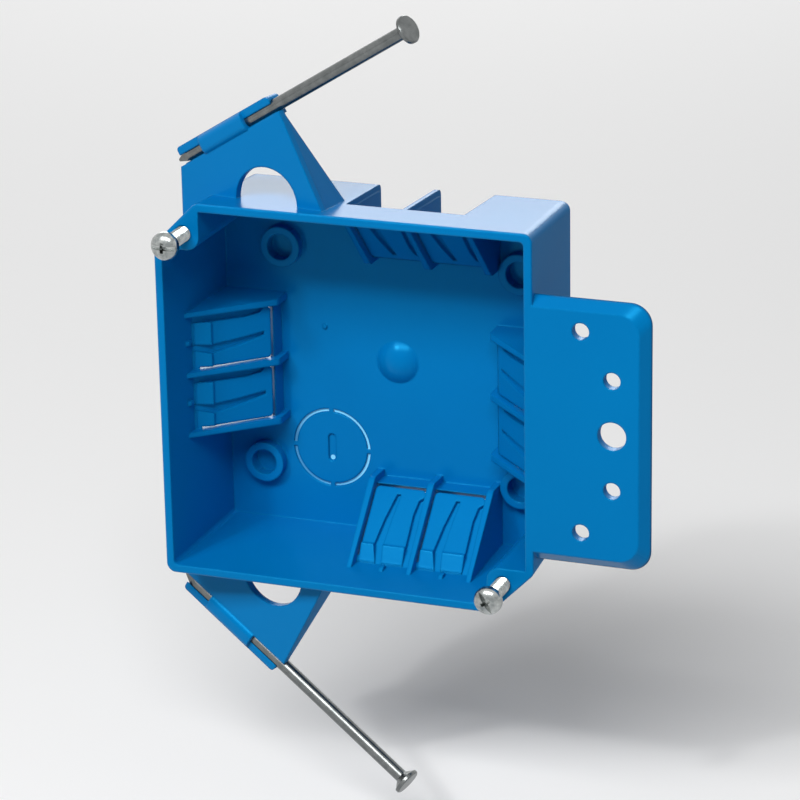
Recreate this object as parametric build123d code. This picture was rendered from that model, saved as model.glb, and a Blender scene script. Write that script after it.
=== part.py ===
from build123d import *
from collections import namedtuple
from math import cos, radians, sin, sqrt, tan
import os

# New work outlet box: a square moulded box with two captive nails, a side bracket and two cover screws.
# X runs from the stud side (-X) to the bracket (+X), Y into the box from its open front, Z up.
# The origin is the centre of the open front, and all sizes are millimetres.

# Moulded box
box_side = 101.6
box_depth = 38.1
wall = 2.2
back_wall = 2.3
draft = 2.2                # how far each side leans in from the rim to the back
corner_cut = 11.7          # leg of the two cut corners that carry the cover screws
corner_radius = 2.5
back_edge_radius = 1.6
inner_corner_radius = 1.2
rim_edge_radius = 0.4

# Cover screws and the corner columns they enter
screw_inset = 8.3          # screw axis from the two outer sides at the rim
screw_major = 4.17
screw_length = 25.4
screw_head_diameter = 7.4
screw_head_height = 3.0
screw_head_gap = 10.4      # a screw stands this far out of the rim, as supplied
screw_slot_width = 1.2
screw_slot_depth = 1.3
column_reach = 4.3         # column face from the screw axis
column_corner_radius = 3.6
pilot_overrun = 3.2        # pilot hole past the end of the screw
thread_clearance = 0.05

# Cable clamps, two to a side between three ribs
rib_pitch = 16.5
rib_width = 1.3            # where a rib starts, and through the wall
rib_back_width = 2.0       # the ribs thicken towards the back wall
rib_run = 18.3             # depth from a rib's foot on the wall to its nose
rib_reach = 17.6           # height of the nose over the wall's inner face
rib_level = 6.5            # from the nose the rib runs level to the back wall
rib_nose_radius = 1.6
rib_over_finger = 1.6
finger_thickness = 1.6
finger_end = 24.6          # along the ramp, from the rib foot
finger_end_radius = 1.2
finger_end_gap = 0.8
side_slit = 0.6            # between a finger and the ribs beside it
side_slit_start = 4.6
bar_drop = 1.8             # level bar between the ribs, over the way in, lower than their level crests
bar_thickness = 1.8
toe_start = 2.7            # the ramp's foot: a toe, then a steeper plane, then the finger
toe_end = 3.1
toe_root = 3.0
toe_depth = 2.1
foot_start = 3.5
foot_start_depth = 2.3
foot_end = 7.7
foot_end_depth = 1.0
finger_start = 8.3
groove_depth = 1.0
middle_groove = [(5.4, 2.2), (4.0, 8.1), (5.1, 15.3), (6.8, 22.7), (7.9, 22.7), (7.0, 15.3), (6.5, 8.2), (6.9, 2.2)]
side_groove = [(12.8, 2.2), (12.6, 17.5), (13.2, 21.5), (14.6, 22.7), (15.6, 22.7), (15.6, 2.2)]
stub_place = 8.2           # from the low side of a cell
stub_width = 1.2
stub_length = 2.4
stub_height = 0.8
floor_clamp_centre = 12.7  # of the bottom and top pairs, along X
stud_clamp_centre = 0.0    # of the pair on the stud side, along Z
far_clamp_centre = -3.5    # of the pair on the bracket side, along Z

# Inside face of the back wall
knockout_x, knockout_z = -17.6, -24.9
knockout_diameter = 20.9
knockout_groove = 0.9
knockout_groove_depth = 0.45
knockout_back_depth = 1.2  # the same ring is cut from the back too
knockout_bridge = 1.3
pry_slot_length = 7.7
pry_slot_width = 2.1
pry_slot_depth = 0.5
pry_pit_drop = 2.9         # a small pit near the low end of the slot
pry_pit_diameter = 1.3
dome_x, dome_z = 1.5, 1.0
dome_diameter = 11.6
dome_height = 2.2
gate_pip_x, gate_pip_z = -18.8, 8.9
gate_pip_diameter = 1.3
gate_pip_height = 0.4
ring_boss_places = [(-30.0, 30.4), (-36.2, -30.2), (36.0, 29.0), (36.0, -29.6)]
ring_boss_diameter = 11.0
ring_boss_bore = 7.0
ring_boss_height = 2.8
ring_boss_bore_depth = 3.6

# Side bracket
bracket_reach = 30.2       # past the box side, at the back face
bracket_height = 70.2
bracket_centre = -0.1
bracket_thickness = 2.6
bracket_edge_lean = 2.65   # how far its edge spreads from the front face to the back
bracket_corner_radius = 5.5
bracket_hole_centre = 0.6
nail_hole_diameter = 4.4
outer_hole_reach = 20.6    # the near column of holes lies closer to the box than the far one
inner_hole_reach = 12.5
outer_hole_spread = 28.9
inner_hole_spread = 53.0
centre_hole_diameter = 7.4

# Nail ears
ear_depth = 13.0           # ear face behind the rim, at the stud side
ear_yaw = 11.9             # degrees, the ear comes forward away from the stud
ear_plate = 2.1
ear_left = 1.5             # ear edge from the stud side
ear_right_foot = 44.1
ear_stagger = 1.3          # the top ear sits this far from the middle place, the bottom one as far the other way
ear_shoulder = 3.2         # plate past the end of the nail channel
ear_hole_centre = 27.2
ear_hole_radius = 9.3
bottom_ear_spread = 1.1    # the bottom ear's opening and right edge lie this much further out
gusset_depth = 17.0
gusset_thickness = 2.0
channel_wall = 1.3         # round the nail, where it is covered, and outside it where it is open
channel_inner_wall = 0.8
channel_rise = 0.9         # the open channel holds the nail this far past its axis
channel_ends = (2.0, 10.3, 25.8, 35.4)
channel_end_radius = 1.0
cover_edge_radius = 1.9

# Captive nails
nail_length = 82.5
nail_diameter = 3.43
nail_head_diameter = 7.4
nail_head_thickness = 1.3
nail_neck_height = 1.2
nail_point_length = 5.5
top_nail_rise = 31.3       # degrees above the row of the ear
bottom_nail_rise = 33.2    # degrees, below the row of the ear
nail_tip_height = 57.2
nail_tip_reach = -0.3      # tip from the stud side, along the ear
nail_behind_face = 2.2     # nail axis behind the ear face
nail_clearance = 0.05

half = box_side / 2
screw_place = half - screw_inset
nail_radius = nail_diameter / 2
back_face = box_depth - back_wall
rib_nose = back_face - rib_level
rib_start = rib_nose - rib_run
pilot_depth = screw_length - screw_head_gap + pilot_overrun
shallow = 0.6              # how deep joined shapes run into the wall that carries them

Ear = namedtuple("Ear", "shift rise cut spread")
top_ear = Ear(ear_stagger, top_nail_rise, corner_cut, 0)
bottom_ear = Ear(-ear_stagger, bottom_nail_rise, 0, bottom_ear_spread)


def inset_at(y):
    """How far the outer sides have leaned in at a depth."""
    return draft * y / box_depth


def level(y):
    """Plane across the box at a depth, seen from the front."""
    return Plane(origin=(0, y, 0), x_dir=(1, 0, 0), z_dir=(0, -1, 0))


def box_outline(inset, y):
    """Square with its top left and bottom right corners cut, moved in by an inset."""
    side = half - inset
    leg = corner_cut - (2 - sqrt(2)) * inset
    points = [
        (-side + leg, side), (side, side), (side, -side + leg),
        (side - leg, -side), (-side, -side), (-side, side - leg),
    ]
    return level(y) * outline_of(points)


def outline_of(points):
    return make_face(Polyline(*points, close=True))


def prism_across(section, x_from, x_to):
    """Solid with a section of the YZ plane, between two places along X."""
    return extrude(Plane.YZ.offset(x_from) * section, amount=x_to - x_from)


def disc_at(x, z, diameter, y_from, y_to):
    """Round bar along Y."""
    return extrude(level(y_to) * Pos(x, z) * Circle(diameter / 2), amount=y_to - y_from)


def outer_block():
    block = loft([box_outline(0, 0), box_outline(draft, box_depth)], ruled=True)
    long_edges = block.edges().filter_by(lambda e: abs(e.bounding_box().size.Y - box_depth) < 0.1)
    block = fillet(long_edges, corner_radius)
    back_edges = block.faces().sort_by(Axis.Y)[-1].edges()
    block = fillet(back_edges, back_edge_radius)
    return fillet(block.faces().sort_by(Axis.Y)[0].edges(), rim_edge_radius)


def cavity():
    hollow = loft([box_outline(wall, 0), box_outline(wall + inset_at(back_face), back_face)], ruled=True)
    long_edges = hollow.edges().filter_by(lambda e: abs(e.bounding_box().size.Y - back_face) < 0.1)
    return fillet(long_edges, inner_corner_radius)


def screw_column(sign):
    """Corner column from the rim to the back, top left for sign -1 and bottom right for 1."""
    face_place = screw_place - column_reach
    size = half - face_place
    column = Rectangle(size, size)
    near = min(column.vertices(), key=lambda v: abs(v.X + sign * size / 2) + abs(v.Y - sign * size / 2))
    column = fillet(near, column_corner_radius)
    place = face_place + size / 2
    return extrude(level(back_face) * Pos(sign * place, -sign * place) * column, amount=back_face)


def wall_inner(y):
    """Inner face of the bottom wall at a depth, as a height."""
    return -half + wall + inset_at(y)


nose_height = wall_inner(rib_nose) + rib_reach
ramp_run = rib_nose - rib_start
ramp_climb = nose_height - wall_inner(rib_start)
ramp_length = sqrt(ramp_run ** 2 + ramp_climb ** 2)
finger_under = rib_over_finger + finger_thickness
bar_level = nose_height - bar_drop


def on_ramp(along, under):
    """Depth and height of a point along the rib crests from their foot, and under them."""
    run, climb = ramp_run / ramp_length, ramp_climb / ramp_length
    return rib_start + along * run + under * climb, wall_inner(rib_start) + along * climb - under * run


def on_cross(along, height):
    """Point of a given height on the line square to the ramp at a place along it."""
    _, crest = on_ramp(along, 0)
    return on_ramp(along, (crest - height) * ramp_length / ramp_run)


def clamp_ribs(centre):
    """Three ribs that stand on the bottom wall, rise to a nose and run level to the back wall."""
    far = back_face + shallow
    section = outline_of([
        (rib_start, wall_inner(rib_start)), (rib_nose, nose_height), (far, nose_height),
        (far, wall_inner(back_face) - shallow), (rib_start, wall_inner(rib_start) - shallow),
    ])
    nose = min(section.vertices(), key=lambda v: abs(v.X - rib_nose) + abs(v.Y - nose_height))
    section = fillet(nose, rib_nose_radius)
    ribs = []
    for k in (-1, 0, 1):
        x = centre + k * rib_pitch
        front, back = rib_width / 2, rib_back_width / 2
        plan = outline_of([(x - front, rib_start), (x + front, rib_start), (x + back, far), (x - back, far)])
        wedge = extrude(Plane.XY.offset(-box_side) * plan, amount=2 * box_side)
        ribs.append(prism_across(section, x - back, x + back) & wedge)
    return ribs


def clamp_cells(centre):
    """Clear span between neighbouring ribs, from the low side to the high one."""
    lows = [centre - rib_pitch + rib_width / 2, centre + rib_width / 2]
    return [(low, low + rib_pitch - rib_width) for low in lows]


def clamp_notch(cell):
    """Way in for the cable, under the finger and the bar."""
    far = box_depth + wall
    roof = bar_level - bar_thickness
    outside = -half - 2 * wall
    section = outline_of([
        on_ramp(-2 * wall, finger_under), on_ramp(finger_end, finger_under), on_cross(finger_end, roof),
        (far, roof), (far, outside), (rib_start, outside),
    ])
    return prism_across(section, *cell)


def clamp_bar(cell):
    """Level bar that the finger's end rests against."""
    start = finger_end + finger_end_gap
    far = back_face + shallow
    under = bar_level - bar_thickness
    section = outline_of([on_cross(start, bar_level), (far, bar_level), (far, under), on_cross(start, under)])
    return prism_across(section, cell[0] - rib_width / 4, cell[1] + rib_width / 4)


def ramp_plane(cell):
    """Plane of the rib crests: local x along the wall, local y up the ramp."""
    normal = (0, -ramp_climb / ramp_length, ramp_run / ramp_length)
    return Plane(origin=(cell[0], rib_start, wall_inner(rib_start)), x_dir=(1, 0, 0), z_dir=normal)


def clamp_slits(cell):
    """Narrow slits beside a finger, and its rounded end corners."""
    width = cell[1] - cell[0]
    past_end = finger_end + finger_end_gap
    blank = Pos(width / 2, 0) * Rectangle(width - 2 * side_slit, 2 * finger_end)
    finger = fillet(blank.vertices().group_by(Axis.Y)[-1], finger_end_radius)
    window = Pos(width / 2, (side_slit_start + past_end) / 2) * Rectangle(
        width + rib_width, past_end - side_slit_start)
    through = finger_under + wall
    return extrude(ramp_plane(cell).offset(-through) * (window - finger), amount=2 * through)


def clamp_finger(cell):
    """Spring finger on its stepped foot, with two grooves along its face."""
    section = outline_of([
        on_ramp(1.2, finger_under), on_ramp(toe_start, toe_root), on_ramp(toe_end, toe_depth),
        on_ramp(foot_start, foot_start_depth), on_ramp(foot_end, foot_end_depth),
        on_ramp(finger_start, rib_over_finger), on_ramp(finger_end, rib_over_finger),
        on_ramp(finger_end, finger_under),
    ])
    finger = prism_across(section, cell[0] - rib_width / 4, cell[1] + rib_width / 4)
    floor = ramp_plane(cell).offset(-rib_over_finger - groove_depth)
    grooves = [extrude(floor * outline_of(points), amount=finger_under) for points in (middle_groove, side_groove)]
    return finger - clamp_slits(cell) - grooves


def clamp_stub(cell):
    """Short rib on the wall in front of a finger."""
    middle = cell[0] + stub_place
    end = rib_start + stub_length
    section = outline_of([
        (rib_start, wall_inner(rib_start) - shallow), (rib_start, wall_inner(rib_start) + 0.1),
        (rib_start + stub_height, wall_inner(rib_start) + stub_height), (end, wall_inner(end) + stub_height),
        (end, wall_inner(end) - shallow),
    ])
    return prism_across(section, middle - stub_width / 2, middle + stub_width / 2)


def floor_clamps(centre):
    """What a clamp pair cuts from the bottom wall, and what it adds to it."""
    cells = clamp_cells(centre)
    notches = [clamp_notch(cell) for cell in cells]
    solids = clamp_ribs(centre)
    for cell in cells:
        solids += [clamp_finger(cell), clamp_bar(cell), clamp_stub(cell)]
    return notches, solids


def all_clamps():
    """Clamp pairs of the four sides, each mirrored from one on the bottom wall."""
    diagonal = Plane(origin=(0, 0, 0), x_dir=(0, 1, 0), z_dir=(1, 0, -1))
    notches, solids = [], []
    sides = [
        (floor_clamp_centre, []),
        (floor_clamp_centre, [Plane.XY]),
        (stud_clamp_centre, [diagonal]),
        (far_clamp_centre, [diagonal, Plane.YZ]),
    ]
    for centre, mirrors in sides:
        groups = floor_clamps(centre)
        for plane in mirrors:
            groups = [[mirror(item, about=plane) for item in group] for group in groups]
        notches += groups[0]
        solids += groups[1]
    return notches, solids


def knockout_grooves():
    """Ring groove of the knockout on both faces, broken by four bridges, with its pry slot and pit."""
    radius = knockout_diameter / 2
    ring = Circle(radius + knockout_groove / 2) - Circle(radius - knockout_groove / 2)
    cross = Rectangle(4 * radius, knockout_bridge) + Rectangle(knockout_bridge, 4 * radius)
    place = Pos(knockout_x, knockout_z)
    pit = Pos(0, -pry_pit_drop) * Circle(pry_pit_diameter / 2)
    cuts = [ring - cross, pit]
    front = [extrude(level(back_face + knockout_groove_depth) * place * cut, amount=back_wall) for cut in cuts]
    back = [extrude(level(box_depth + back_wall) * place * cut, amount=back_wall + knockout_back_depth)
            for cut in cuts]
    slot_shape = SlotOverall(pry_slot_length, pry_slot_width, rotation=90)
    slot = extrude(level(back_face + pry_slot_depth) * place * slot_shape, amount=back_wall)
    return front + back + [slot]


def dome():
    """Shallow round dome, a cap of a ball that is sunk in the back wall."""
    ball_radius = (dome_diameter ** 2 / 4 + dome_height ** 2) / (2 * dome_height)
    ball = Pos(dome_x, back_face - dome_height + ball_radius, dome_z) * Sphere(ball_radius)
    keep = disc_at(dome_x, dome_z, dome_diameter + 2, back_face - 2 * dome_height, back_face + shallow)
    return ball & keep


def ring_bosses():
    """Round bosses near the back corners, and the blind bores in them."""
    front = back_face - ring_boss_height
    bosses = [disc_at(x, z, ring_boss_diameter, front, back_face + shallow) for x, z in ring_boss_places]
    bottom = front + ring_boss_bore_depth
    bores = [disc_at(x, z, ring_boss_bore, front - shallow, bottom) for x, z in ring_boss_places]
    return bosses, bores


def bracket():
    """Nailing plate with leaning edges and five holes."""
    sections = []
    for y, spread in ((0, bracket_edge_lean), (bracket_thickness, 0)):
        left = half - 2 * bracket_corner_radius
        right = half + bracket_reach - spread
        shape = Pos((left + right) / 2, bracket_centre) * Rectangle(right - left, bracket_height - 2 * spread)
        sections.append(level(y) * fillet(shape.vertices(), bracket_corner_radius))
    plate = loft(sections, ruled=True)
    keep_length = 2 * bracket_reach
    keep = Pos(half - wall / 2 + keep_length / 2, 0, 0) * Box(keep_length, 4 * bracket_thickness, box_side)
    plate = plate & keep
    outer_x = half + outer_hole_reach
    inner_x = half + inner_hole_reach
    places = [(outer_x, bracket_hole_centre, centre_hole_diameter)]
    for side in (-1, 1):
        places.append((outer_x, bracket_hole_centre + side * outer_hole_spread / 2, nail_hole_diameter))
        places.append((inner_x, bracket_hole_centre + side * inner_hole_spread / 2, nail_hole_diameter))
    holes = [disc_at(x, z, d, -shallow, bracket_thickness + shallow) for x, z, d in places]
    return plate - holes


def ear_face(ear):
    """Plane of an upper ear's front face: local x away from the stud, local y up."""
    yaw = radians(ear_yaw)
    return Plane(
        origin=(-half + ear.shift, ear_depth, 0),
        x_dir=(cos(yaw), -sin(yaw), 0),
        z_dir=(-sin(yaw), -cos(yaw), 0),
    )


def nail_frame(ear):
    """Frame on a nail's axis: x from its tip to its head, y away from the box, z to the front."""
    face = ear_face(ear)
    rise = radians(ear.rise)
    origin = face.from_local_coords((nail_tip_reach, nail_tip_height, -nail_behind_face))
    direction = face.x_dir * cos(rise) + face.y_dir * sin(rise)
    return Plane(origin=origin, x_dir=direction, z_dir=face.z_dir)


def nail_line(ear, u, below):
    """Height of a line under a nail's axis, on the ear face."""
    rise = radians(ear.rise)
    return nail_tip_height + (u - nail_tip_reach) * tan(rise) - below / cos(rise)


def channel_slab(ear, low, front):
    """Slab along a nail, from a line across it to the channel's outer side, and up to a height past its axis."""
    start, end = channel_ends[0], channel_ends[-1]
    outer = nail_radius + channel_wall
    blank = Pos((start + end) / 2, (low + outer) / 2) * Rectangle(end - start, outer - low)
    outline = fillet(blank.vertices().group_by(Axis.Y)[-1], channel_end_radius)
    return extrude(nail_frame(ear).offset(-outer) * outline, amount=front + outer)


def nail_channel(ear):
    """Channel that a nail lies in: a bed with an outer rail, and a rounded cover over its middle."""
    inner = nail_radius + channel_inner_wall
    outer = nail_radius + channel_wall
    bed = channel_slab(ear, -inner, channel_rise)
    rail = channel_slab(ear, nail_radius / 2, nail_radius)
    _, start, end, _ = channel_ends
    cover = Pos((start + end) / 2, (outer - inner) / 2, 0) * Box(end - start, outer + inner, 2 * outer)
    cover = fillet(cover.edges().filter_by(Axis.X).group_by(Axis.Z)[-1], cover_edge_radius)
    return bed + rail + nail_frame(ear) * cover


def upper_ear(ear):
    """Upper ear over a corner cut of a given leg: plate with a half round opening, gusset and nail channel."""
    yaw = radians(ear_yaw)
    left = ear_left / cos(yaw)
    foot_height = half - inset_at(ear_depth) - shallow
    cut_start = max(ear.cut - ear.shift, ear_left + shallow) / cos(yaw)
    left_foot = foot_height - max(ear.cut - ear.shift - ear_left - shallow, 0)
    right_foot = (ear_right_foot + ear.spread) / cos(yaw)
    shoulder = channel_ends[-1] * cos(radians(ear.rise)) + nail_tip_reach + ear_shoulder
    grip = nail_radius + nail_clearance
    outline = [
        (left, left_foot),
        (cut_start, foot_height),
        (right_foot, foot_height),
        (shoulder, nail_line(ear, shoulder, 2 * grip)),
        (shoulder - grip / 2, nail_line(ear, shoulder - grip / 2, grip)),
        (left, nail_line(ear, left, grip)),
    ]
    hole_centre = ((ear_hole_centre + ear.spread) / cos(yaw), half - inset_at(ear_depth) / 2)
    plate_shape = outline_of(outline) - Pos(*hole_centre) * Circle(ear_hole_radius)
    face = ear_face(ear)
    plate = extrude(face.offset(-ear_plate) * plate_shape, amount=ear_plate)
    top = face.from_local_coords((*outline[3], -ear_plate))
    front_foot = face.from_local_coords((right_foot, foot_height, -shallow))
    back_foot = Vector(front_foot.X + 0.8, gusset_depth, half - inset_at(gusset_depth) - shallow)
    gusset = extrude(outline_of([top, front_foot, back_foot]), amount=gusset_thickness, dir=(-1, 0, 0))
    bore = nail_frame(ear) * Rot(0, 90, 0) * Cylinder(grip, 3 * nail_length)
    return plate + gusset + nail_channel(ear) - bore


def box_body():
    """The whole moulding, one solid."""
    block = outer_block()
    body = block - cavity()
    columns = [screw_column(sign) & block for sign in (-1, 1)]
    notches, clamp_parts = all_clamps()
    body = body - notches
    body = body + clamp_parts + columns
    bosses, bores = ring_bosses()
    body = body + dome() + bosses + disc_at(
        gate_pip_x, gate_pip_z, gate_pip_diameter, back_face - gate_pip_height, back_face + shallow)
    body = body - bores - knockout_grooves()
    body += bracket()
    body += upper_ear(top_ear)
    body += mirror(upper_ear(bottom_ear), about=Plane.XY)
    pilot = screw_major + 2 * thread_clearance
    body -= [disc_at(sign * screw_place, -sign * screw_place, pilot, -shallow, pilot_depth) for sign in (-1, 1)]
    return body


def nail(ear):
    """Upper nail along its frame's x axis, turned from a half section and cut to a four sided point."""
    neck = nail_length - nail_head_thickness - nail_neck_height
    head_radius = nail_head_diameter / 2
    profile = outline_of([
        (0, 0), (0, nail_radius), (neck, nail_radius),
        (nail_length - nail_head_thickness, head_radius - 0.5),
        (nail_length - nail_head_thickness + 0.3, head_radius),
        (nail_length - 0.3, head_radius), (nail_length, head_radius - 0.3), (nail_length, 0),
    ])
    body = revolve(profile, axis=Axis.X, revolution_arc=360)
    wide = 2 * nail_diameter
    point_end = Plane(origin=(0, 0, 0), x_dir=(0, 1, 0), z_dir=(1, 0, 0))
    grow = nail_point_length / nail_diameter
    envelope = loft([
        point_end * Rectangle(0.6, 0.6),
        point_end.offset(wide * grow) * Rectangle(0.6 + wide, 0.6 + wide),
    ], ruled=True)
    rest = Pos(nail_length / 2 + nail_point_length, 0, 0) * Box(nail_length, 3 * wide, 3 * wide)
    return nail_frame(ear) * (body & (envelope + rest))


def cover_screw(sign):
    """Round head slotted screw, standing out of its corner column."""
    head_radius = screw_head_diameter / 2
    under_head = -screw_head_gap
    crown = under_head - screw_head_height
    tip = under_head + screw_length
    major = screw_major / 2
    turned = revolve(outline_of([
        (0, crown), (0, tip), (major - 0.7, tip), (major, tip - 0.7), (major, under_head),
        (head_radius, under_head), (head_radius, under_head - 1.0), (head_radius * 0.88, crown + 0.9),
        (head_radius * 0.5, crown + 0.2),
    ]), axis=Axis.Y, revolution_arc=360)
    slot = Pos(0, crown, 0) * Box(2 * screw_head_diameter, 2 * screw_slot_depth, screw_slot_width)
    turn = Rot(0, 28 * sign + 30, 0)
    return Pos(sign * screw_place, 0, -sign * screw_place) * turn * (turned - slot)


def main():
    os.makedirs("parts", exist_ok=True)
    pieces = {
        "box_body": box_body(),
        "nail_top": nail(top_ear),
        "nail_bottom": mirror(nail(bottom_ear), about=Plane.XY),
        "cover_screw_top_left": cover_screw(-1),
        "cover_screw_bottom_right": cover_screw(1),
    }
    for name, piece in pieces.items():
        export_step(piece, f"parts/{name}.step")


main()
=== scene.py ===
import math

import bpy
from mathutils import Matrix, Vector

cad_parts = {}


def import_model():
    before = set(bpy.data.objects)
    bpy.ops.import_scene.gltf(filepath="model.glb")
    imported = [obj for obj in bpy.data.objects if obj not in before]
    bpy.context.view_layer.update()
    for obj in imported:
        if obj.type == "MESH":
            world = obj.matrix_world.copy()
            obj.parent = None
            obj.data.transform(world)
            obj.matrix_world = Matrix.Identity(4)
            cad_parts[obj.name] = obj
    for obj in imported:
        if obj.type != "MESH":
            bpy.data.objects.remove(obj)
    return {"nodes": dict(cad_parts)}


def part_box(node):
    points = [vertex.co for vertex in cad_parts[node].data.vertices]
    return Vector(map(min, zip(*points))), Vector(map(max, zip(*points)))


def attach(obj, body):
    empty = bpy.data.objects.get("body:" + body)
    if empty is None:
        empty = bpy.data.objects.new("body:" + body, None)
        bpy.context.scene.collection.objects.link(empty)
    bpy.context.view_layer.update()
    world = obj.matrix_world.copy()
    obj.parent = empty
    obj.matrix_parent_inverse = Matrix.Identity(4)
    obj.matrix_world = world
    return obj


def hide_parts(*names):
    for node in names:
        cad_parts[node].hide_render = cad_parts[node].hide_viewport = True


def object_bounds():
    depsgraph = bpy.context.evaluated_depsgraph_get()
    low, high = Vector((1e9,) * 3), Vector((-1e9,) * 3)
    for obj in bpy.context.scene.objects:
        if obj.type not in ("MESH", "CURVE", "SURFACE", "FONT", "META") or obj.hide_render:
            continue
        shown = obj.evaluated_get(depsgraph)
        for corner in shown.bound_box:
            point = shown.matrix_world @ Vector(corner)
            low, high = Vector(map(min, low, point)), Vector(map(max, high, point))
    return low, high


MM = 0.001

# Camera of the photograph, in millimetres of the part's frame.
CAMERA_PLACE = (327.8, -815.1, 314.0)
CAMERA_TURN = (1.89142933, 0.33205423, -0.25873033)
FOCAL_PIXELS = 3682.1
FRAME_PIXELS = 800
SENSOR = 36.0
NEAREST, FARTHEST = 0.05, 20    # metres that the camera sees

# Lights: place, target, width, height in metres and radiance.
KEY_LIGHT = ((-0.05, -1.12, 1.14), (0.0, 0.0, 0.0), 1.5, 0.46, 11.5)
SPARK_LIGHT = ((-0.48, -1.16, 0.99), (0.0, 0.0, 0.0), 0.1, 0.1, 130.0)
BACK_LIGHT = ((-0.45, 1.3, 0.62), (0.0, 0.0, 0.0), 1.2, 0.6, 3.0)
WORLD_LIGHT = 0.14

# Blue plastic. Noise scales are in features to a metre, and lengths are metres.
PLASTIC_DARK = (0.0, 0.150, 0.425, 1)
PLASTIC_LIGHT = (0.0, 0.186, 0.485, 1)
PLASTIC_TINT = (0.03, 0.55, 0.95, 1)
PLASTIC_IOR = 1.5
CLOUD_SCALE = 22.0
CLOUD_DETAIL = 3.0
SATIN = (0.2, 0.8, 0.20, 0.27)      # the clouds' low and high value, and the roughness at each
SIDE_FACING = (0.5, 0.95)           # how far a side looks along X where it starts to dull and is dullest
SIDE_DULLNESS = 0.42
GRAIN_SCALE = 900.0
GRAIN_HEIGHT = 0.00003
GRAIN_STRENGTH = 0.5
PLASTIC_EDGE = 0.0007
EDGE_SAMPLES = 4

# Thin web of the knockout, with a painted glow where light would come through it, in metres.
KNOCKOUT = (-0.0176, 0.0358, -0.0249)
KNOCKOUT_RADIUS = 0.01045
KNOCKOUT_WEB = 0.00038
PRY_PIT_DROP = 0.0029
PRY_PIT_RADIUS = 0.00065
WEB_DEPTH = 0.0001
WEB_SLANT = 0.6                     # the painted glow grows brighter along X and this much of Z
PAINTED_GLOW_DIMMEST = 0.35                 # share of the full painted glow at its dim end
PAINTED_GLOW_FULL_FROM = 0.4                  # share of the ring's radius past its middle where the painted glow is full
# Colour and emission strength of the painted glow of light through the web.
PAINTED_GLOW_COLOUR = (0.22, 0.62, 0.88, 1)
PAINTED_GLOW_STRENGTH = 0.15

# Metals: patches and grain are scale and detail of noise, and roughness is for its low and high ends.
NAIL_STEEL = {
    "patches": (420.0, 4.0), "spread": (0.3, 0.7), "grain": (1400.0, 3.0), "edge_round": 0.0002,
    "dark": (0.12, 0.13, 0.13, 1), "light": (0.19, 0.20, 0.20, 1), "roughness": (0.27, 0.21),
}
SCREW_ZINC = {
    "patches": (500.0, 4.0), "spread": (0.35, 0.65), "grain": (1800.0, 2.0), "edge_round": 0.0,
    "dark": (0.22, 0.24, 0.24, 1), "light": (0.48, 0.50, 0.49, 1), "roughness": (0.26, 0.16),
}
PATCH_ROUGHNESS = 0.6
ROUGHNESS_SPREAD = (0.3, 0.7)
METAL_GRAIN_HEIGHT = 0.00003
METAL_GRAIN_STRENGTH = 0.4

# Cover screws, in metres and degrees.
HEAD_RADIUS = 0.0037
HEAD_HEIGHT = 0.003
HEAD_POINTS = 64
DOME_SHARE = 0.78                   # of the head's height
DOME_ANGLES = (6, 14, 23, 32, 41, 50, 60, 70, 80)
HEAD_RIM = ((-0.0004, 0.0), (-0.0001, 0.0), (0.0, 0.0001))    # past the head's height, and in from its side
SLOT_LENGTH = 0.0111
SLOT_WIDTH = 0.0011
SLOT_DEPTH = 0.0012
CROSS_WIDTH = 0.0010
CROSS_LENGTH = 0.0042
CROSS_DEPTH = 0.0019
CROSS_TAPER = 0.35                  # share of its length left at the foot
CROSS_SIDE_TAPER = 0.4              # share of its width that the taper acts on
SLOT_TURNS = {"cover_screw_top_left": 2, "cover_screw_bottom_right": 58}
MAJOR_RADIUS = 0.002085
THREAD_DEPTH = 0.00042
THREAD_PITCH = 0.000794
THREAD_SLOPE = 1.25
TIP_SHARE = 0.72                    # radius at the tip, as a share of the full one
TIP_TURNS = 2                       # turns over which the shank narrows to it
SHANK_POINTS = 36
RINGS_PER_TURN = 8
SHANK_OVERLAP = 0.0002
SMOOTH_ANGLE = 32

# Floor, in metres.
FLOOR_GAP = 0.012
FLOOR_SIDE = 4.0
FLOOR_IN_LIGHT = (0.4, 0.4, 0.4, 1)
FLOOR_TO_LOOK_AT = (0.93, 0.93, 0.93, 1)
FLOOR_ROUGHNESS = 0.9

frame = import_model()
cad_box = [list(corner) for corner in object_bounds()]


def camera():
    """Camera matched to the photograph, from a turn vector of its axes: right, down, into the picture."""
    turn = Vector(CAMERA_TURN)
    right, down, ahead = Matrix.Rotation(turn.length, 3, turn.normalized())
    data = bpy.data.cameras.new("camera")
    data.sensor_fit = "HORIZONTAL"
    data.sensor_width = SENSOR
    data.lens = FOCAL_PIXELS * SENSOR / FRAME_PIXELS
    data.clip_start = NEAREST
    data.clip_end = FARTHEST
    seen_from = bpy.data.objects.new("camera", data)
    axes = Matrix((right, -down, -ahead)).transposed()
    seen_from.matrix_world = Matrix.Translation(Vector(CAMERA_PLACE) * MM) @ axes.to_4x4()
    bpy.context.scene.collection.objects.link(seen_from)
    bpy.context.scene.camera = seen_from


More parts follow.
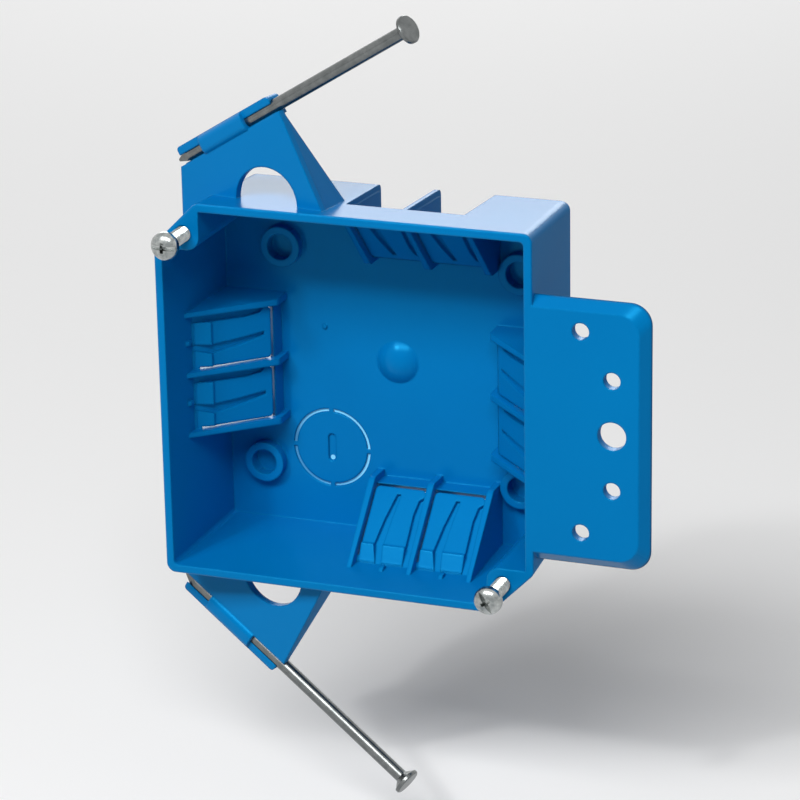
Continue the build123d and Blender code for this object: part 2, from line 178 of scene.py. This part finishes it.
class Nodes:
    """A material with its shader, and short calls that add and join nodes."""

    def __init__(self, name, **values):
        self.material = bpy.data.materials.new(name)
        self.material.use_nodes = True
        self.tree = self.material.node_tree
        self.shader = self.tree.nodes["Principled BSDF"]
        for key, value in values.items():
            self.shader.inputs[key.replace("_", " ")].default_value = value

    def put(self, socket, value):
        """Gives an input a value or another node's output."""
        if isinstance(value, bpy.types.NodeSocket):
            self.tree.links.new(value, socket)
        else:
            socket.default_value = value

    def add(self, kind, inputs=None, **settings):
        """New node, with settings as attributes and inputs given as values or as other nodes' sockets."""
        node = self.tree.nodes.new(kind)
        for key, value in settings.items():
            setattr(node, key, value)
        for key, value in (inputs or {}).items():
            self.put(node.inputs[key], value)
        return node

    def math(self, operation, first, second=0.0):
        return self.add("ShaderNodeMath", {0: first, 1: second}, operation=operation).outputs[0]

    def noise(self, place, scale, detail=2.0, roughness=0.5):
        inputs = {"Vector": place, "Scale": scale, "Detail": detail, "Roughness": roughness}
        return self.add("ShaderNodeTexNoise", inputs).outputs["Fac"]

    def ramp(self, value, low, high, low_out, high_out):
        inputs = {"Value": value, "From Min": low, "From Max": high, "To Min": low_out, "To Max": high_out}
        return self.add("ShaderNodeMapRange", inputs, clamp=True).outputs["Result"]

    def mix(self, share, first, second):
        """Colour mixed from two colours."""
        node = self.add("ShaderNodeMix", {0: share}, data_type="RGBA")
        self.put(node.inputs[6], first)
        self.put(node.inputs[7], second)
        return node.outputs[2]

    def drive(self, socket, value):
        self.tree.links.new(value, self.shader.inputs[socket])

    def bump(self, height, distance, strength, edge_round=0.0):
        """Bump, over edges that catch the light as if they were slightly rounded."""
        inputs = {"Height": height, "Distance": distance, "Strength": strength}
        if edge_round:
            bevel = self.add("ShaderNodeBevel", {"Radius": edge_round}, samples=EDGE_SAMPLES)
            inputs["Normal"] = bevel.outputs["Normal"]
        self.drive("Normal", self.add("ShaderNodeBump", inputs).outputs["Normal"])


def plastic():
    """Moulded blue plastic: faint flow clouds, satin grain, duller sides along X, and a painted glow of
    light through the thin web.
    """
    look = Nodes("box_plastic", Specular_IOR_Level=0.5, Specular_Tint=PLASTIC_TINT, IOR=PLASTIC_IOR)
    place = look.add("ShaderNodeTexCoord").outputs["Object"]
    clouds = look.noise(place, CLOUD_SCALE, CLOUD_DETAIL)
    colour = look.mix(clouds, PLASTIC_DARK, PLASTIC_LIGHT)
    thin = painted_knockout_glow(look, place)
    # Painted glow where light shines through the web: a lighter colour and emission.
    colour = look.mix(thin, colour, PAINTED_GLOW_COLOUR)
    look.drive("Base Color", colour)
    look.drive("Emission Color", colour)
    look.drive("Emission Strength", look.math("MULTIPLY", thin, PAINTED_GLOW_STRENGTH))
    normal = look.add("ShaderNodeNewGeometry").outputs["Normal"]
    facing = look.add("ShaderNodeSeparateXYZ", {0: normal}).outputs
    sideways = look.ramp(look.math("ABSOLUTE", facing["X"]), *SIDE_FACING, 0.0, 1.0)
    satin = look.ramp(clouds, *SATIN)
    look.drive("Roughness", look.math("ADD", satin, look.math("MULTIPLY", sideways, SIDE_DULLNESS)))
    look.bump(look.noise(place, GRAIN_SCALE), GRAIN_HEIGHT, GRAIN_STRENGTH, PLASTIC_EDGE)
    return look.material


def painted_knockout_glow(look, place):
    """Share of painted glow, for light through the thin web, in the ring groove and the pry pit."""
    parts = look.add("ShaderNodeSeparateXYZ", {0: place}).outputs

    def distance_from(x, z):
        across = look.math("SUBTRACT", parts["X"], x)
        up = look.math("SUBTRACT", parts["Z"], z)
        squares = look.math("ADD", look.math("MULTIPLY", across, across), look.math("MULTIPLY", up, up))
        return look.math("SQRT", squares)

    off_ring = look.math("SUBTRACT", distance_from(KNOCKOUT[0], KNOCKOUT[2]), KNOCKOUT_RADIUS)
    ring = look.math("LESS_THAN", look.math("ABSOLUTE", off_ring), KNOCKOUT_WEB)
    pit = look.math("LESS_THAN", distance_from(KNOCKOUT[0], KNOCKOUT[2] - PRY_PIT_DROP), PRY_PIT_RADIUS)
    sunk = look.math("GREATER_THAN", parts["Y"], KNOCKOUT[1] + WEB_DEPTH)
    # The painted glow dims to a share of itself towards one side of the ring.
    slant = look.math("ADD", parts["X"], look.math("MULTIPLY", parts["Z"], WEB_SLANT))
    middle = KNOCKOUT[0] + WEB_SLANT * KNOCKOUT[2]
    dim_end, full_glow_end = middle - KNOCKOUT_RADIUS, middle + PAINTED_GLOW_FULL_FROM * KNOCKOUT_RADIUS
    ring = look.math("MULTIPLY", ring, look.ramp(slant, dim_end, full_glow_end, PAINTED_GLOW_DIMMEST, 1.0))
    return look.math("MULTIPLY", look.math("MAXIMUM", ring, pit), sunk)


def metal(name, patches, spread, grain, edge_round, dark, light, roughness):
    """Bare metal with faint dull patches and a fine grain."""
    look = Nodes(name, Metallic=1.0)
    place = look.add("ShaderNodeTexCoord").outputs["Object"]
    share = look.noise(place, *patches, PATCH_ROUGHNESS)
    look.drive("Base Color", look.mix(look.ramp(share, *spread, 0.0, 1.0), dark, light))
    look.drive("Roughness", look.ramp(share, *ROUGHNESS_SPREAD, *roughness))
    look.bump(look.noise(place, *grain), METAL_GRAIN_HEIGHT, METAL_GRAIN_STRENGTH, edge_round)
    return look.material


def new_object(name, vertices, faces):
    mesh = bpy.data.meshes.new(name)
    mesh.from_pydata(vertices, [], faces)
    mesh.validate()
    item = bpy.data.objects.new(name, mesh)
    bpy.context.scene.collection.objects.link(item)
    return item


def turned(name, rings):
    """Closed solid round the Y axis from rings of equal point counts, with a point at each end."""
    count = len(rings[0])
    first_point, last_point = (0, rings[0][0][1], 0), (0, rings[-1][0][1], 0)
    vertices = [first_point] + [point for ring in rings for point in ring] + [last_point]
    last = len(vertices) - 1
    faces = [(0, 1 + (i + 1) % count, 1 + i) for i in range(count)]
    for k in range(len(rings) - 1):
        here, there = 1 + k * count, 1 + (k + 1) * count
        for i in range(count):
            j = (i + 1) % count
            faces.append((here + i, here + j, there + j, there + i))
    base = 1 + (len(rings) - 1) * count
    faces += [(last, base + i, base + (i + 1) % count) for i in range(count)]
    return new_object(name, vertices, faces)


def ring_at(y, radius_at, count):
    """Ring of points round the Y axis, with a radius for each angle."""
    angles = [math.tau * i / count for i in range(count)]
    return [(radius_at(a) * math.cos(a), y, radius_at(a) * math.sin(a)) for a in angles]


def cut_by(item, cutters):
    """Cuts one object by others, which go."""
    for cutter in cutters:
        cut = item.modifiers.new("cut", "BOOLEAN")
        cut.operation = "DIFFERENCE"
        cut.solver = "EXACT"
        cut.object = cutter
    graph = bpy.context.evaluated_depsgraph_get()
    mesh = bpy.data.meshes.new_from_object(item.evaluated_get(graph))
    item.modifiers.clear()
    item.data = mesh
    for cutter in cutters:
        bpy.data.objects.remove(cutter)


def cutting_bar(name, length, width, depth, taper):
    """Bar along X and over the origin, which narrows with depth, to cut the slot or an arm of the cross."""
    vertices = []
    for y, share in ((-depth, 1.0), (depth, taper)):
        x = length / 2 * share
        z = width / 2 * (1 - CROSS_SIDE_TAPER * (1 - share))
        vertices += [(-x, y, -z), (x, y, -z), (x, y, z), (-x, y, z)]
    faces = [(0, 1, 2, 3), (7, 6, 5, 4), (0, 4, 5, 1), (1, 5, 6, 2), (2, 6, 7, 3), (3, 7, 4, 0)]
    return new_object(name, vertices, faces)


def screw_head(name):
    """Round head with a slot crossed by a cross recess, its crown at the origin and its foot along +Y."""
    rings = []
    for angle in DOME_ANGLES:
        lean = math.radians(angle)
        y = HEAD_HEIGHT * DOME_SHARE * (1 - math.cos(lean))
        radius = HEAD_RADIUS * math.sin(lean) / math.sin(math.radians(DOME_ANGLES[-1]))
        rings.append(ring_at(y, lambda a, r=radius: r, HEAD_POINTS))
    for past, inset in HEAD_RIM:
        rings.append(ring_at(HEAD_HEIGHT + past, lambda a, r=HEAD_RADIUS - inset: r, HEAD_POINTS))
    head = turned(name, rings)
    slot = cutting_bar("slot", SLOT_LENGTH, SLOT_WIDTH, SLOT_DEPTH, 1.0)
    arms = [cutting_bar("arm", CROSS_LENGTH, CROSS_WIDTH, CROSS_DEPTH, CROSS_TAPER) for _ in range(2)]
    arms[1].rotation_euler = (0, math.radians(90), 0)
    bpy.context.view_layer.update()
    cut_by(head, [slot] + arms)
    return head


def screw_shank(name, length):
    """Shank along +Y from the origin, with a helical thread that narrows to its tip."""
    minor = MAJOR_RADIUS - THREAD_DEPTH

    def radius(y, angle):
        phase = (y / THREAD_PITCH - angle / math.tau) % 1.0
        crest = max(0.0, 1.0 - abs(2 * phase - 1.0) * THREAD_SLOPE)
        from_tip = min(1.0, max(0.0, (length - y) / (TIP_TURNS * THREAD_PITCH)))
        threaded = minor + THREAD_DEPTH * min(1.0, THREAD_SLOPE * crest)
        return threaded * (TIP_SHARE + (1 - TIP_SHARE) * from_tip)

    steps = int(length / THREAD_PITCH * RINGS_PER_TURN)
    heights = [length * k / steps for k in range(steps + 1)]
    return turned(name, [ring_at(y, lambda a, y=y: radius(y, a), SHANK_POINTS) for y in heights])


def detailed_screw(node, material):
    """Screw with a real thread and recess in place of its plain solid."""
    low, high = (Vector(corner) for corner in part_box(node))
    middle = (low + high) / 2
    shank_start = low.y + HEAD_HEIGHT - SHANK_OVERLAP
    head = screw_head(node + "_head")
    shank = screw_shank(node + "_shank", high.y - shank_start)
    turn = Matrix.Rotation(math.radians(SLOT_TURNS[node]), 4, "Y")
    for piece, start in ((head, low.y), (shank, shank_start)):
        piece.data.transform(Matrix.Translation((middle.x, start, middle.z)) @ turn)
        piece.data.materials.append(material)
        for polygon in piece.data.polygons:
            polygon.use_smooth = True
        piece.data.set_sharp_from_angle(angle=math.radians(SMOOTH_ANGLE))
        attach(piece, "root")
    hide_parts(node)
    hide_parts(node)


def area_light(name, place, target, width, height, radiance):
    """Soft light that reads as its radiance, whatever its size, and that the camera doesn't see."""
    data = bpy.data.lights.new(name, "AREA")
    data.shape = "RECTANGLE"
    data.size = width
    data.size_y = height
    data.energy = radiance * math.pi * width * height
    lamp = bpy.data.objects.new(name, data)
    lamp.location = place
    lamp.rotation_euler = (Vector(target) - Vector(place)).to_track_quat("-Z", "Y").to_euler()
    lamp.visible_camera = False
    bpy.context.scene.collection.objects.link(lamp)


def looked_at(tree):
    """One for rays from the camera and for glossy and transmitted ones, and zero for the rest."""
    path = tree.nodes.new("ShaderNodeLightPath")
    total = path.outputs["Is Camera Ray"]
    for name in ("Is Glossy Ray", "Is Transmission Ray"):
        either = tree.nodes.new("ShaderNodeMath")
        either.operation = "MAXIMUM"
        tree.links.new(total, either.inputs[0])
        tree.links.new(path.outputs[name], either.inputs[1])
        total = either.outputs[0]
    return total


def world():
    """Soft surroundings that light the object, and are plain white to look at, also in gloss and glass."""
    surroundings = bpy.data.worlds.new("world")
    bpy.context.scene.world = surroundings
    surroundings.use_nodes = True
    tree = surroundings.node_tree
    background = tree.nodes["Background"]
    background.inputs["Color"].default_value = (1, 1, 1, 1)
    strength = tree.nodes.new("ShaderNodeMapRange")
    strength.inputs["To Min"].default_value = WORLD_LIGHT
    strength.inputs["To Max"].default_value = 1.0
    tree.links.new(looked_at(tree), strength.inputs["Value"])
    tree.links.new(strength.outputs[0], background.inputs["Strength"])


def floor():
    """Plain pale floor that keeps the object's shadow, and that looks paler than the light it gives back."""
    side = FLOOR_SIDE / 2
    height = cad_box[0][2] - FLOOR_GAP
    corners = [(-side, -side, height), (side, -side, height), (side, side, height), (-side, side, height)]
    ground = new_object("floor", corners, [(0, 1, 2, 3)])
    look = Nodes("floor_white", Roughness=FLOOR_ROUGHNESS)
    look.drive("Base Color", look.mix(looked_at(look.tree), FLOOR_IN_LIGHT, FLOOR_TO_LOOK_AT))
    ground.data.materials.append(look.material)


camera()
nail_look = metal("nail_steel", **NAIL_STEEL)
screw_look = metal("screw_zinc", **SCREW_ZINC)
for node, look in {"box_body": plastic(), "nail_top": nail_look, "nail_bottom": nail_look}.items():
    frame["nodes"][node].data.materials.clear()
    frame["nodes"][node].data.materials.append(look)
for node in SLOT_TURNS:
    detailed_screw(node, screw_look)

world()
floor()
area_light("key", *KEY_LIGHT)
area_light("spark", *SPARK_LIGHT)
area_light("back", *BACK_LIGHT)
bpy.context.scene.view_settings.view_transform = "Standard"
